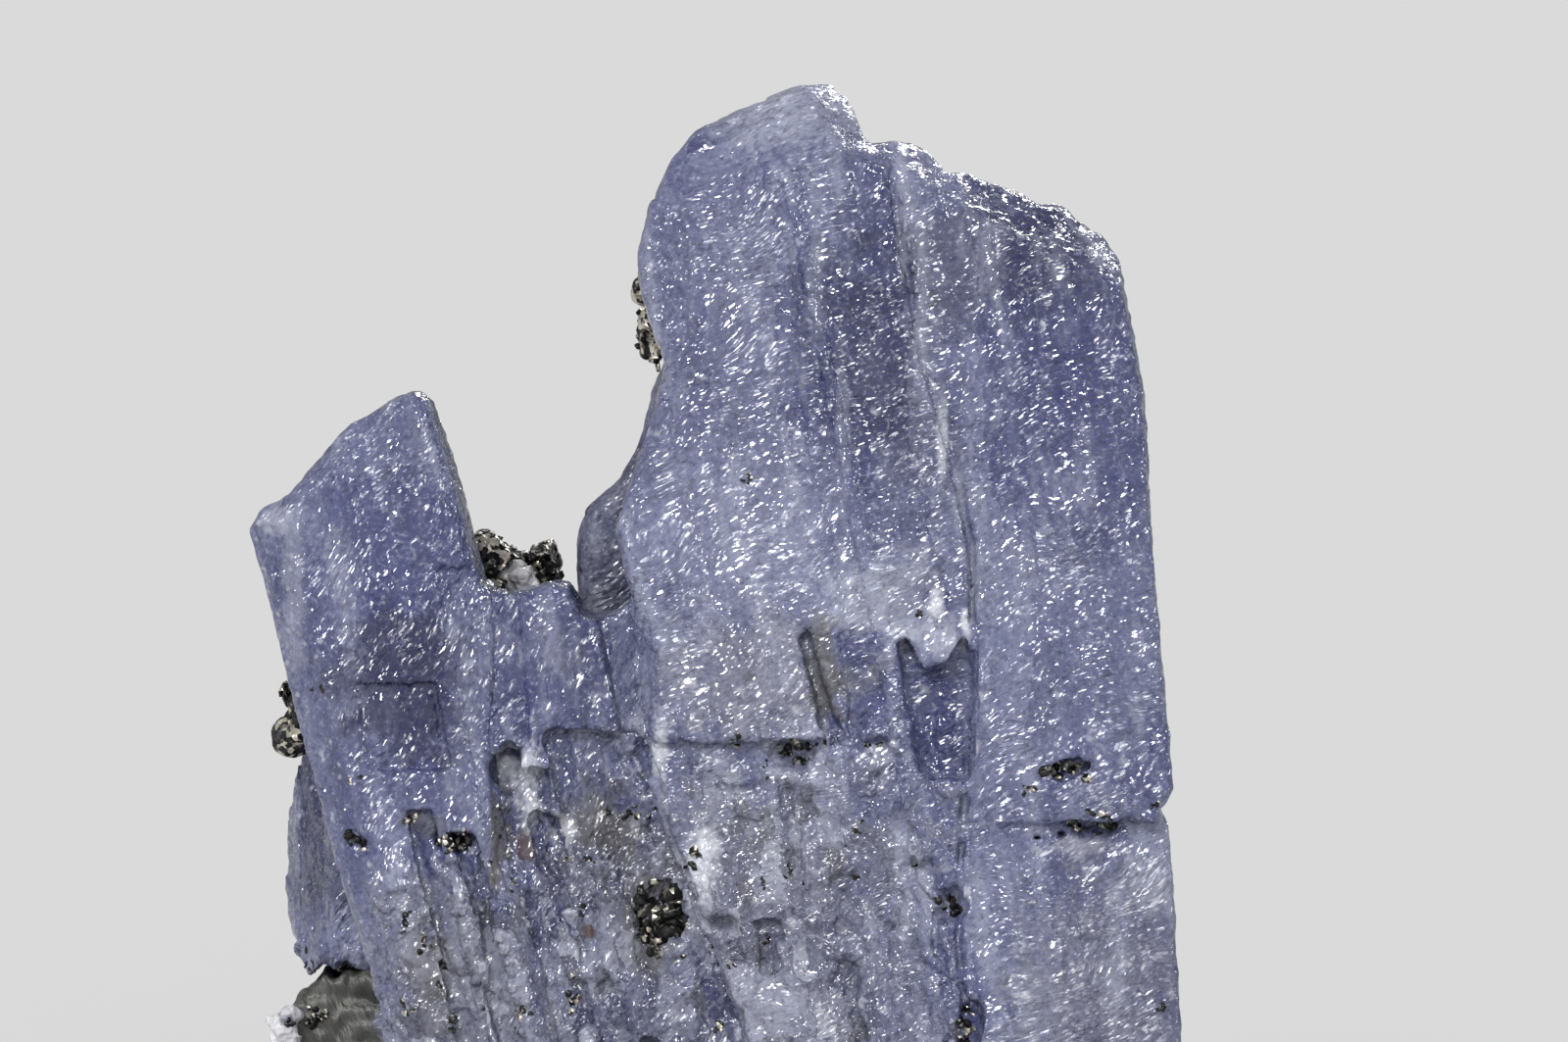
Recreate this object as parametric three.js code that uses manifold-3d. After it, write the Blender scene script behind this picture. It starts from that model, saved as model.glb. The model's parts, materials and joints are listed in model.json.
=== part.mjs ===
// A cluster of intergrown tanzanite crystals, the blue-violet gem variety of zoisite, with crusts
// and flakes of graphite on them. It is cut off flat at the foot, where it grew on rock.
// Millimetres, +Z up and +X to the right. The finest faces look towards -Y.
// Outlines are lists of [x, z] seen from the front, anticlockwise. Depths are values of y.
import * as THREE from "three";
import { mergeVertices } from "three/addons/utils/BufferGeometryUtils.js";
import Module from "manifold-3d";

// Driving dimensions
const HEIGHT = 42.1; // from the cut to the knob of the main crystal
const HALF_WIDTH = 16.4; // to the right corner of the cut, and to the left crystal's tip
const MAIN_DEPTH = { front: -5.6, back: 4.6 };
const LEFT_DEPTH = { front: -4.8, back: 2.3 };
const SADDLE_DEPTH = { front: -4.5, back: 2.5 };
const SIDE_DEPTH = { front: 2.6, back: 6.8 };
const REAR_DEPTH = { front: 4.9, back: 9.0 };
const CRUST_DEPTH = { front: 2.9, back: 7.9 };
const MIDDLE_DEPTH = 1.7; // y of the middle of the whole depth, which moves to the origin
const SEAM = 0.3; // gap kept along a seam between two pieces
const FLAKE_GAP = 0.2; // gap round a graphite flake in its pit
const OUTSIDE = 6; // how far a cutting tool reaches past the face that it cuts

// The seams between the three front crystals, from the top down
const LEFT_SEAM = [
  [-8.3, 24.4],
  [-8.2, 21.7],
  [-8.4, 19.8],
  [-8.1, 17.6],
  [-7.9, 15.9],
  [-7.1, 12.5],
  [-6.1, 9.0],
  [-4.8, 0],
];
const MAIN_SEAM = [
  [-3.0, 24.3],
  [-2.6, 22.6],
  [-2.4, 19.3],
  [-1.7, 16.3],
  [-0.3, 12.5],
  [0.9, 9.0],
  [2.0, 0],
];

// The tall crystal: right side, stepped top, knob, wavy left side, seam
const MAIN_OUTLINE = [
  [HALF_WIDTH, 0],
  [15.8, 9.0],
  [15.5, 14.3],
  [15.35, 16.4],
  [15.0, 17.1],
  [15.4, 17.9],
  [15.0, 23.3],
  [14.6, 28.2],
  [14.4, 31.5],
  [13.9, 34.1],
  [13.6, 36.0],
  [13.0, 36.9],
  [12.3, 37.3],
  [11.7, 37.95],
  [10.9, 37.95],
  [10.0, 38.5],
  [8.4, 39.05],
  [7.7, 39.0],
  [6.9, 39.9],
  [6.1, 40.2],
  [4.9, 40.1],
  [4.1, 41.8],
  [3.6, HEIGHT],
  [2.6, HEIGHT],
  [0.4, 41.3],
  [-1.0, 40.5],
  [-1.8, 39.5],
  [-2.5, 37.9],
  [-2.9, 36.2],
  [-2.8, 35.0],
  [-2.0, 32.6],
  [-2.3, 31.0],
  [-3.3, 28.2],
  [-3.7, 26.8],
  [-3.4, 25.6],
  ...MAIN_SEAM,
];

// The short leaning crystal on the left, with its slanting end
const LEFT_OUTLINE = [
  ...[...LEFT_SEAM].reverse(),
  [-8.9, 26.3],
  [-9.2, 27.6],
  [-10.0, 30.2],
  [-10.3, 31.2],
  [-10.7, 31.5],
  [-11.4, 31.3],
  [-13.0, 30.3],
  [-14.0, 29.2],
  [-15.0, 27.9],
  [-16.0, 27.4],
  [-HALF_WIDTH, 26.8],
  [-15.9, 25.0],
  [-14.9, 20.9],
  [-14.2, 18.3],
  [-13.4, 15.1],
  [-12.3, 11.7],
  [-11.8, 9.0],
  [-9.9, 0],
];

// The blocky crystal that fills the saddle between those two
const SADDLE_OUTLINE = [
  ...[...MAIN_SEAM].reverse().slice(0, -1),
  [-3.1, 24.0],
  [-4.5, 23.7],
  [-5.0, 23.9],
  [-5.4, 24.9],
  [-6.1, 24.9],
  [-7.6, 24.5],
  ...LEFT_SEAM,
];

// The grey crystal behind the tall one
const REAR_OUTLINE = [
  [9.6, 0],
  [9.2, 21.4],
  [8.8, 30.6],
  [6.4, 33.9],
  [3.4, 35.8],
  [0.2, 35.2],
  [-1.7, 33.8],
  [-2.5, 31.6],
  [-2.9, 29.8],
  [-3.8, 28.1],
  [-5.0, 27.2],
  [-5.3, 26.2],
  [-5.2, 24.1],
  [-5.6, 0],
];

// The broken crystal behind the left one, above the silky matrix that it grew on
const BREAK = [
  [-14.9, 10.6],
  [-14.3, 11.2],
  [-13.9, 11.0],
  [-13.5, 11.3],
  [-13.1, 11.1],
  [-10.6, 11.3],
];
const SIDE_OUTLINE = [
  ...BREAK,
  [-11.2, 16.5],
  [-12.4, 20.6],
  [-13.6, 20.9],
  [-14.6, 19.2],
  [-15.6, 18.3],
  [-15.9, 15.0],
  [-15.6, 12.3],
];
const MATRIX_OUTLINE = [
  [-9.9, 0],
  ...[...BREAK].reverse().map(([x, z]) => [x, z - SEAM]),
  [-15.6, 9.4],
  [-15.3, 7.2],
  [-15.9, 5.1],
  [-16.1, 2.2],
  [-15.8, 0],
];

// The graphite crust that closes the saddle from behind
const CRUST_OUTLINE = [
  [-6.0, 0],
  [-6.0, 24.9],
  [-6.3, 26.0],
  [-7.4, 25.6],
  [-8.6, 26.1],
  [-9.6, 24.8],
  [-10.0, 17.0],
  [-9.5, 0],
];

// Sloping steps planed into a face, each [left, right, low, high, depth at left, depth at right].
// Left and right are measured at the step's top, and lean is the run to the right per unit of drop.
const MAIN_FRONT_STEPS = [
  { lean: -0.06, step: [-5.5, -0.7, 29.6, 43, 2.9, 0] },
  { lean: 0.2, step: [-0.4, 2.0, 21, 39, 0, 0.3] },
  { lean: 0.2, step: [2.0, 4.4, 25.6, 41, 0.3, 0.05] },
  { lean: 0.17, step: [5.8, 8.6, 28.5, 40, 0.45, 0] },
  { lean: 0.08, step: [11.6, 18, 17.2, 43, 0, 1.1] },
  { lean: 0.18, step: [3.7, 5.2, 19.5, 23.4, 0.45, 0.2] },
  { lean: 0.12, step: [-5, 5.9, -1, 19.6, 0.5, 0.6] },
  { lean: 0.08, step: [5.6, 7.3, -1, 15.6, 0.8, 0.3] },
  { lean: 0.05, step: [8.4, 18, -1, 16.8, 0.1, 1.3] },
];
const MAIN_BACK_STEPS = [
  { lean: 0.08, step: [-6, -0.5, -1, 43, 2.6, 0] },
  { lean: 0.08, step: [9.6, 11.2, 13.5, 43, 0.6, 0] },
  { lean: 0.08, step: [11.2, 14, -1, 43, 0.3, 0.9] },
  { lean: 0.08, step: [13, 19, -1, 43, 0.4, 2.9] },
];
// The same on the right side, each [front, back, low, high, depth], from where the side is at the top
const MAIN_SIDE_STEPS = [
  { face: 14.3, lean: 0.0735, step: [-2.7, -1.0, 17.4, 33, 0.35] },
  { face: 13.6, lean: 0.075, step: [0.9, 2.1, 22.5, 41, 0.4] },
  { face: 15.35, lean: 0.064, step: [-3.6, -1.7, -1, 16.6, 0.4] },
  { face: 15.35, lean: 0.064, step: [0.5, 2.4, -1, 16.6, 0.3] },
];
const LEFT_FRONT_STEPS = [
  { lean: 0.26, step: [-19, -15.2, -1, 27, 3.4, 0] },
  { lean: 0.19, step: [-10.1, -6.5, -1, 25.6, 0.1, 0.9] },
  { lean: 0.24, step: [-11.1, -10.1, -1, 17.2, 0.6, 0.3] },
  { lean: 0.24, step: [-9.6, -8.6, -1, 16.4, 0.9, 0.5] },
  { lean: 0.2, step: [-12.9, -10.0, 18.5, 21.6, 0.2, 0.35] },
  { lean: 0.22, step: [-13.0, -11.4, -1, 13.2, 0.5, 0.15] },
];
const LEFT_BACK_STEPS = [
  { lean: 0.22, step: [-18, -14.0, -1, 33, 2.2, 0] },
  { lean: 0.22, step: [-11.5, -8.6, 12, 33, 0, 0.9] },
];
const SADDLE_FRONT_STEPS = [
  { lean: 0.05, step: [-9, -7.1, 19.4, 26, 0.1, 0.35] },
  { lean: 0.2, step: [-4.9, -1.5, 19.9, 26, 0.6, 0.35] },
  { lean: 0.15, step: [-6.2, 1, -1, 19.9, 0.9, 0.7] },
  { lean: 0.15, step: [-9, -6.2, -1, 18.6, 0.7, 1.0] },
];
const REAR_BACK_STEPS = [
  { lean: 0.02, step: [-7, -3.0, -1, 37, 2.3, 0] },
  { lean: 0.02, step: [-0.6, 1.6, 4, 37, 0.7, 0.1] },
  { lean: 0.02, step: [3.4, 6.6, -1, 29, 0.1, 0.6] },
  { lean: 0.02, step: [6.6, 11, -1, 37, 0.3, 2.4] },
];

// Flat-floored hollows with an outline, where a slab has broken away
const BROKEN_SLAB = {
  depth: 1.15,
  outline: [
    [6.5, 18.4],
    [8.4, 18.2],
    [8.6, 21.4],
    [8.3, 23.4],
    [7.65, 22.3],
    [6.9, 22.1],
    [6.5, 22.9],
    [6.2, 23.3],
    [5.75, 23.0],
    [6.05, 21.4],
  ],
};
const SADDLE_CAVITY = {
  depth: 2.0,
  outline: [
    [-7.0, 18.2],
    [-7.0, 19.2],
    [-7.5, 19.5],
    [-8.3, 19.3],
    [-8.9, 19.8],
    [-8.6, 18.2],
    [-7.6, 17.4],
  ],
};

// Grooves and cracks that follow a path down a face
const BLADE_SEAM = {
  width: 0.32,
  depth: 0.45,
  path: [
    [5.7, 39.9],
    [6.0, 37.2],
    [6.9, 32.7],
    [7.9, 29.2],
    [8.5, 26.1],
    [8.6, 21.4],
    [8.0, 14.6],
    [8.3, 9.0],
    [8.6, -1],
  ],
};
const BROWN_GROOVE = {
  width: 0.55,
  depth: 0.75,
  path: [
    [2.7, 23.4],
    [3.2, 21.6],
    [3.9, 19.4],
  ],
};
const CROSS_CRACK = {
  width: 0.3,
  depth: 1.5,
  path: [
    [10.2, 16.1],
    [12.6, 16.5],
    [16.5, 17.6],
  ],
};
const EDGE_CRACK = {
  width: 0.25,
  depth: 0.5,
  path: [
    [-4.5, 24.0],
    [-1.9, 24.6],
    [-0.5, 25.1],
  ],
};

// The end facets of each crystal, each as three points of its plane
const MAIN_FACETS = [
  [[0, -5.6, 38.2], [4.6, -5.6, 40.3], [2.5, -3.2, HEIGHT]],
  [[7.5, -5.6, 38.2], [12.2, -5.6, 35.9], [10.0, -3.6, 38.4]],
  [[0, 4.6, 35.4], [12.0, 4.6, 32.6], [4.0, 0.2, HEIGHT]],
  [[-2.6, 1.6, 38.5], [1.2, 4.6, 36.5], [1.0, 0.6, 41.6]],
];
const LEFT_FACETS = [
  [[-16.2, -4.8, 26.4], [-11.6, -4.8, 30.6], [-13.2, -3.7, 30.2]],
  [[-15.4, 2.3, 24.6], [-11.0, 2.3, 28.4], [-12.6, -1.2, 30.6]],
];
const SADDLE_FACETS = [[[-7.5, 2.5, 22.2], [-3.5, 2.5, 21.6], [-5.6, -1.2, 25.0]]];
const REAR_FACETS = [
  [[-4.6, 9, 24.4], [-1.2, 9, 31.0], [-4.4, 6.2, 27.8]],
  [[0.5, 9, 32.4], [7.4, 9, 28.4], [3.4, 6.0, 36.0]],
];
const SIDE_FACETS = [
  [[-15.8, 6.8, 14.6], [-15.8, 6.8, 11.0], [-15.0, 4.9, 17.6]],
  [[-15.2, 6.8, 16.2], [-12.0, 6.8, 18.6], [-14.0, 4.4, 20.6]],
];

// Small upright blocks that cleavage has left in the two worn zones, in columns and rows
const WORN_MAIN = { left: -1.6, right: 5.4, low: 0.8, high: 19.2, columns: 5, rows: 4, depth: 0.8 };
const WORN_SADDLE = { left: -7.2, right: -3, low: 0.8, high: 17.6, columns: 3, rows: 4, depth: 0.8 };
const WORN_LEAN = 0.16;

// Graphite flakes set in the front: centre, half width and height, and turn in radians
const FLAKES = [
  { x: 11.9, y: -5.15, z: 18.65, across: 1.0, up: 0.32, turn: 0.25 },
  { x: 12.7, y: -4.95, z: 16.75, across: 0.75, up: 0.45, turn: -0.2 },
  { x: 7.75, y: -5.3, z: 13.9, across: 0.42, up: 0.55, turn: 0.3 },
  { x: 2.3, y: -4.95, z: 19.2, across: 0.7, up: 0.42, turn: 0 },
  { x: -2.2, y: -3.5, z: 13.5, across: 0.8, up: 1.2, turn: -0.25 },
  { x: -9.3, y: -4.2, z: 16.2, across: 0.6, up: 0.5, turn: 0.1 },
  { x: -12.9, y: -4.7, z: 15.9, across: 0.5, up: 0.42, turn: 0.1 },
  { x: 8.4, y: -5.3, z: 9.6, across: 0.4, up: 0.85, turn: -0.15 },
];
const FLAKE_DEPTH = 0.45; // half of a flake's thickness

// Masses of rough grains: the box that their middles lie in, how many, and their half size
const CRUST_GRAINS = { low: [-9.6, 3.6, 1.5], high: [-6.3, 7.4, 26.2], count: 50, size: 1.1 };
const SIDE_GRAINS = { low: [-15.7, 3.0, 18.8], high: [-13.9, 5.4, 21.2], count: 16, size: 0.75 };
const RIM_GRAINS = { low: [-2.9, 3.9, 32.4], high: [-2.2, 6.2, 35.2], count: 12, size: 0.65 };
const MATRIX_GRAINS = { low: [-15.9, 3.2, 1], high: [-15.0, 6.6, 9.4], count: 18, size: 0.75 };
const PALE_SADDLE_GRAINS = { low: [-7.9, 3.4, 24.3], high: [-7.1, 4, 25], count: 5, size: 0.9 };
const PALE_FOOT_GRAINS = { low: [-15.9, 1.9, 8.4], high: [-15.3, 2.2, 9.4], count: 5, size: 0.7 };

const MATERIALS = {
  tanzanite: { color: 0x6a72ad, roughness: 0.3, metalness: 0 },
  greyZoisite: { color: 0x7d7f92, roughness: 0.4, metalness: 0 },
  graphite: { color: 0x2b2b2d, roughness: 0.35, metalness: 0.8 },
  matrix: { color: 0x55574c, roughness: 0.5, metalness: 0.2 },
  calcite: { color: 0xb9b9c0, roughness: 0.5, metalness: 0 },
};

const wasm = await Module();
wasm.setup();

// A repeatable stream of numbers from 0 to 1
function stream(seed) {
  let state = seed;
  return () => {
    state = (state * 1664525 + 1013904223) % 4294967296;
    return state / 4294967296;
  };
}

function merged(geometry) {
  geometry.deleteAttribute("normal");
  geometry.deleteAttribute("uv");
  return mergeVertices(geometry, 1e-4);
}

// A closed three.js geometry as a solid that can be joined and cut
function solidOf(geometry) {
  const { attributes, index } = merged(geometry);
  return new wasm.Manifold(
    new wasm.Mesh({
      numProp: 3,
      vertProperties: attributes.position.array,
      triVerts: Uint32Array.from(index.array),
    }),
  );
}

function shapeOf(points) {
  return new THREE.Shape(points.map(([a, b]) => new THREE.Vector2(a, b)));
}

// A plate with an outline seen from the front, between two depths, with chamfered rims. Its foot
// reaches below the cut by the chamfer, so that the cut leaves a sharp edge.
function plate(outline, { front, back }, chamfer = 0) {
  const sunk = outline.map(([x, z]) => [x, z === 0 ? -2 * chamfer : z]);
  const geometry = new THREE.ExtrudeGeometry(shapeOf(sunk), {
    depth: back - front - 2 * chamfer,
    bevelEnabled: chamfer > 0,
    bevelThickness: chamfer,
    bevelSize: chamfer * 0.8,
    bevelOffset: -chamfer * 0.8,
    bevelSegments: 1,
  });
  geometry.rotateX(Math.PI / 2);
  geometry.translate(0, back - chamfer, 0);
  return solidOf(geometry);
}

// An outline moved outwards by a distance, corner by corner
function grown(outline, distance) {
  const corner = (i) => outline[(i + outline.length) % outline.length];
  return outline.map(([x, z], i) => {
    const before = new THREE.Vector2(x - corner(i - 1)[0], z - corner(i - 1)[1]).normalize();
    const after = new THREE.Vector2(corner(i + 1)[0] - x, corner(i + 1)[1] - z).normalize();
    const outward = new THREE.Vector2(before.y + after.y, -before.x - after.x).normalize();
    const mitre = Math.max(0.5, outward.dot(new THREE.Vector2(before.y, -before.x)));
    return [x + (outward.x * distance) / mitre, z + (outward.y * distance) / mitre];
  });
}

// The room that a crystal needs: its plain plate with a seam's gap all round
function roomFor(outline, { front, back }) {
  return plate(grown(outline, SEAM), { front: front - SEAM, back: back + SEAM });
}

// A column with a plan section, that runs to the right by lean for each unit of drop
function column(section, low, high, lean) {
  const geometry = new THREE.ExtrudeGeometry(shapeOf(section), {
    depth: high - low,
    bevelEnabled: false,
  });
  geometry.translate(0, 0, low);
  geometry.applyMatrix4(
    new THREE.Matrix4().set(1, 0, -lean, lean * high, 0, 1, 0, 0, 0, 0, 1, 0, 0, 0, 0, 1),
  );
  return solidOf(geometry);
}

// Planes a sloping step into the front (side -1) or the back (side 1) of a crystal
function planed(crystal, side, face, { lean, step }) {
  const [left, right, low, high, atLeft, atRight] = step;
  const outside = face + side * OUTSIDE;
  const section = [
    [left, outside],
    [right, outside],
    [right, face - side * atRight],
    [left, face - side * atLeft],
  ];
  return crystal.subtract(column(section, low, high, lean));
}

function stepped(crystal, side, face, steps) {
  return steps.reduce((made, step) => planed(made, side, face, step), crystal);
}

function sideStepped(crystal, steps) {
  return steps.reduce((made, { face, lean, step }) => {
    const [front, back, low, high, depth] = step;
    const section = [
      [face - depth, front],
      [face + OUTSIDE, front],
      [face + OUTSIDE, back],
      [face - depth, back],
    ];
    return made.subtract(column(section, low, high, lean));
  }, crystal);
}

function hollowed(crystal, face, { outline, depth }) {
  return crystal.subtract(plate(outline, { front: face - OUTSIDE, back: face + depth }));
}

// A groove of even width along a path, cut into the front
function grooved(crystal, face, { path, width, depth }) {
  const there = path.map(([x, z]) => [x - width / 2, z - width / 2]);
  const back = path.map(([x, z]) => [x + width / 2, z + width / 2]).reverse();
  return hollowed(crystal, face, { outline: [...there, ...back], depth });
}

// Cuts a crystal along the plane through three points, and keeps the side of its middle
function faceted(crystal, facets) {
  const { min, max } = crystal.boundingBox();
  const middle = new THREE.Vector3(...min).add(new THREE.Vector3(...max)).multiplyScalar(0.5);
  return facets.reduce((made, corners) => {
    const points = corners.map((corner) => new THREE.Vector3(...corner));
    const plane = new THREE.Plane().setFromCoplanarPoints(...points);
    if (plane.distanceToPoint(middle) < 0) plane.negate();
    return made.trimByPlane(plane.normal.toArray(), -plane.constant);
  }, crystal);
}

// Upright steps of random width, height and depth, in leaning columns
function worn(crystal, face, base, zone, seed) {
  const random = stream(seed);
  const width = (zone.right - zone.left) / zone.columns;
  const height = (zone.high - zone.low) / zone.rows;
  let made = crystal;
  for (let column = 0; column < zone.columns; column++)
    for (let row = 0; row < zone.rows; row++) {
      const high = zone.high - (row + 0.6 * random()) * height;
      const low = high - height * (0.35 + 0.6 * random());
      const drop = WORN_LEAN * (zone.high - high);
      const left = zone.left + (column + 0.5 * random()) * width + drop;
      const right = left + width * (0.4 + 0.5 * random());
      const atLeft = base + zone.depth * random();
      const atRight = atLeft + 0.5 * (random() - 0.5);
      const step = [left, right, low, high, atLeft, atRight];
      made = planed(made, -1, face, { lean: WORN_LEAN, step });
    }
  return made;
}

// Moves each corner of a geometry in or out by up to a share of its distance from the middle
function roughened(geometry, share, random) {
  const place = geometry.attributes.position;
  for (let i = 0; i < place.count; i++) {
    const reach = 1 + share * (2 * random() - 1);
    place.setXYZ(i, place.getX(i) * reach, place.getY(i) * reach, place.getZ(i) * reach);
  }
  return geometry;
}

// Rough flat grains scattered through a box and joined to a core
function grainy(core, { low, high, count, size }, seed) {
  const random = stream(seed);
  let made = core;
  for (let i = 0; i < count; i++) {
    const radius = size * (0.6 + 0.6 * random());
    const grain = roughened(merged(new THREE.IcosahedronGeometry(radius, 0)), 0.25, random);
    grain.scale(0.45 + 0.4 * random(), 1, 0.7 + 0.5 * random());
    grain.rotateZ(random() * Math.PI);
    grain.rotateX((random() - 0.5) * 1.4);
    grain.rotateY((random() - 0.5) * 1.4);
    grain.translate(...low.map((least, axis) => least + (high[axis] - least) * random()));
    made = made.add(solidOf(grain));
  }
  return made;
}

// A box that ties a mass of grains together
function coreOf({ low, high }) {
  const size = high.map((most, axis) => (most - low[axis]) * 0.5);
  const middle = high.map((most, axis) => (most + low[axis]) / 2);
  return solidOf(new THREE.BoxGeometry(...size).translate(...middle));
}

function flake({ x, y, z, across, up, turn }, gap, seed) {
  const blank = merged(new THREE.IcosahedronGeometry(1, 1));
  const geometry = roughened(blank, 0.14, stream(seed));
  geometry.scale(across + gap, FLAKE_DEPTH + gap, up + gap);
  geometry.rotateY(-turn);
  return solidOf(geometry.translate(x, y, z));
}

// Makes a pit for each flake, cuts the foot off flat, and drops any loose splinter
function finished(solid) {
  const pitted = FLAKES.reduce((made, spot, i) => made.subtract(flake(spot, FLAKE_GAP, i)), solid);
  const bodies = pitted.trimByPlane([0, 0, 1], 0).decompose();
  return bodies.reduce((most, body) => (body.volume() > most.volume() ? body : most));
}

function mainCrystal() {
  const { front, back } = MAIN_DEPTH;
  let made = plate(MAIN_OUTLINE, MAIN_DEPTH, 0.35);
  made = stepped(made, -1, front, MAIN_FRONT_STEPS);
  made = stepped(made, 1, back, MAIN_BACK_STEPS);
  made = sideStepped(made, MAIN_SIDE_STEPS);
  made = worn(made, front, 0.6, WORN_MAIN, 7);
  made = hollowed(made, front, BROKEN_SLAB);
  for (const groove of [BLADE_SEAM, BROWN_GROOVE, CROSS_CRACK, EDGE_CRACK])
    made = grooved(made, front, groove);
  return finished(faceted(made, MAIN_FACETS));
}

function leftCrystal() {
  let made = plate(LEFT_OUTLINE, LEFT_DEPTH, 0.35);
  made = stepped(made, -1, LEFT_DEPTH.front, LEFT_FRONT_STEPS);
  made = stepped(made, 1, LEFT_DEPTH.back, LEFT_BACK_STEPS);
  return finished(faceted(made, LEFT_FACETS));
}

function saddleCrystal() {
  const { front } = SADDLE_DEPTH;
  let made = plate(SADDLE_OUTLINE, SADDLE_DEPTH, 0.25);
  made = stepped(made, -1, front, SADDLE_FRONT_STEPS);
  made = worn(made, front, 0.9, WORN_SADDLE, 23);
  made = hollowed(made, front, SADDLE_CAVITY);
  made = faceted(made, SADDLE_FACETS);
  made = made.subtract(roomFor(MAIN_OUTLINE, MAIN_DEPTH));
  return finished(made.subtract(roomFor(LEFT_OUTLINE, LEFT_DEPTH)));
}

function rearCrystal() {
  const made = stepped(plate(REAR_OUTLINE, REAR_DEPTH, 0.4), 1, REAR_DEPTH.back, REAR_BACK_STEPS);
  return finished(faceted(made, REAR_FACETS));
}

function sideCrystal() {
  return finished(faceted(plate(SIDE_OUTLINE, SIDE_DEPTH, 0.2), SIDE_FACETS));
}

const CRYSTAL_ROOMS = [
  roomFor(MAIN_OUTLINE, MAIN_DEPTH),
  roomFor(LEFT_OUTLINE, LEFT_DEPTH),
  roomFor(SADDLE_OUTLINE, SADDLE_DEPTH),
  roomFor(REAR_OUTLINE, REAR_DEPTH),
  roomFor(SIDE_OUTLINE, SIDE_DEPTH),
];

// Grains round a core, kept clear of the crystals and of any other room given
function encrusting(core, grains, seed, rooms = []) {
  const whole = grainy(core, grains, seed);
  return finished([...CRYSTAL_ROOMS, ...rooms].reduce((made, room) => made.subtract(room), whole));
}

const paleRooms = [PALE_SADDLE_GRAINS, PALE_FOOT_GRAINS].map((grains) => {
  const roomy = { ...grains, size: grains.size + 2 * SEAM };
  return grainy(coreOf(grains), roomy, 5);
});
const crustPlate = plate(CRUST_OUTLINE, CRUST_DEPTH, 0.4);
const matrixPlate = plate(MATRIX_OUTLINE, SIDE_DEPTH, 0.2);

const pieces = [
  ["main_crystal", mainCrystal(), "tanzanite"],
  ["left_crystal", leftCrystal(), "tanzanite"],
  ["saddle_crystal", saddleCrystal(), "tanzanite"],
  ["rear_crystal", rearCrystal(), "greyZoisite"],
  ["side_crystal", sideCrystal(), "tanzanite"],
  ["graphite_crust", encrusting(crustPlate, CRUST_GRAINS, 3, paleRooms), "graphite"],
  ["graphite_side", encrusting(coreOf(SIDE_GRAINS), SIDE_GRAINS, 17), "graphite"],
  ["graphite_rim", encrusting(coreOf(RIM_GRAINS), RIM_GRAINS, 29), "graphite"],
  ["matrix_foot", encrusting(matrixPlate, MATRIX_GRAINS, 41, paleRooms), "matrix"],
  ["calcite_saddle", encrusting(coreOf(PALE_SADDLE_GRAINS), PALE_SADDLE_GRAINS, 5), "calcite"],
  ["calcite_foot", encrusting(coreOf(PALE_FOOT_GRAINS), PALE_FOOT_GRAINS, 5), "calcite"],
  ...FLAKES.map((spot, i) => [`graphite_flake_${i + 1}`, flake(spot, 0, i), "graphite"]),
];

const cluster = new THREE.Group();
for (const [name, solid, material] of pieces) {
  const { vertProperties, triVerts } = solid.getMesh();
  const geometry = new THREE.BufferGeometry();
  geometry.setAttribute("position", new THREE.BufferAttribute(vertProperties, 3));
  geometry.setIndex(new THREE.BufferAttribute(triVerts, 1));
  geometry.computeVertexNormals();
  const mesh = new THREE.Mesh(geometry, new THREE.MeshStandardMaterial(MATERIALS[material]));
  mesh.name = name;
  cluster.add(mesh);
}
cluster.position.y = -MIDDLE_DEPTH;

export default cluster;
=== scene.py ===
import json
import math
import random

import bmesh
import bpy
from bpy.props import FloatProperty, FloatVectorProperty, IntProperty, PointerProperty
from bpy.types import Operator, Panel, PropertyGroup
from mathutils import Matrix, Vector, noise
from mathutils.bvhtree import BVHTree

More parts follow.
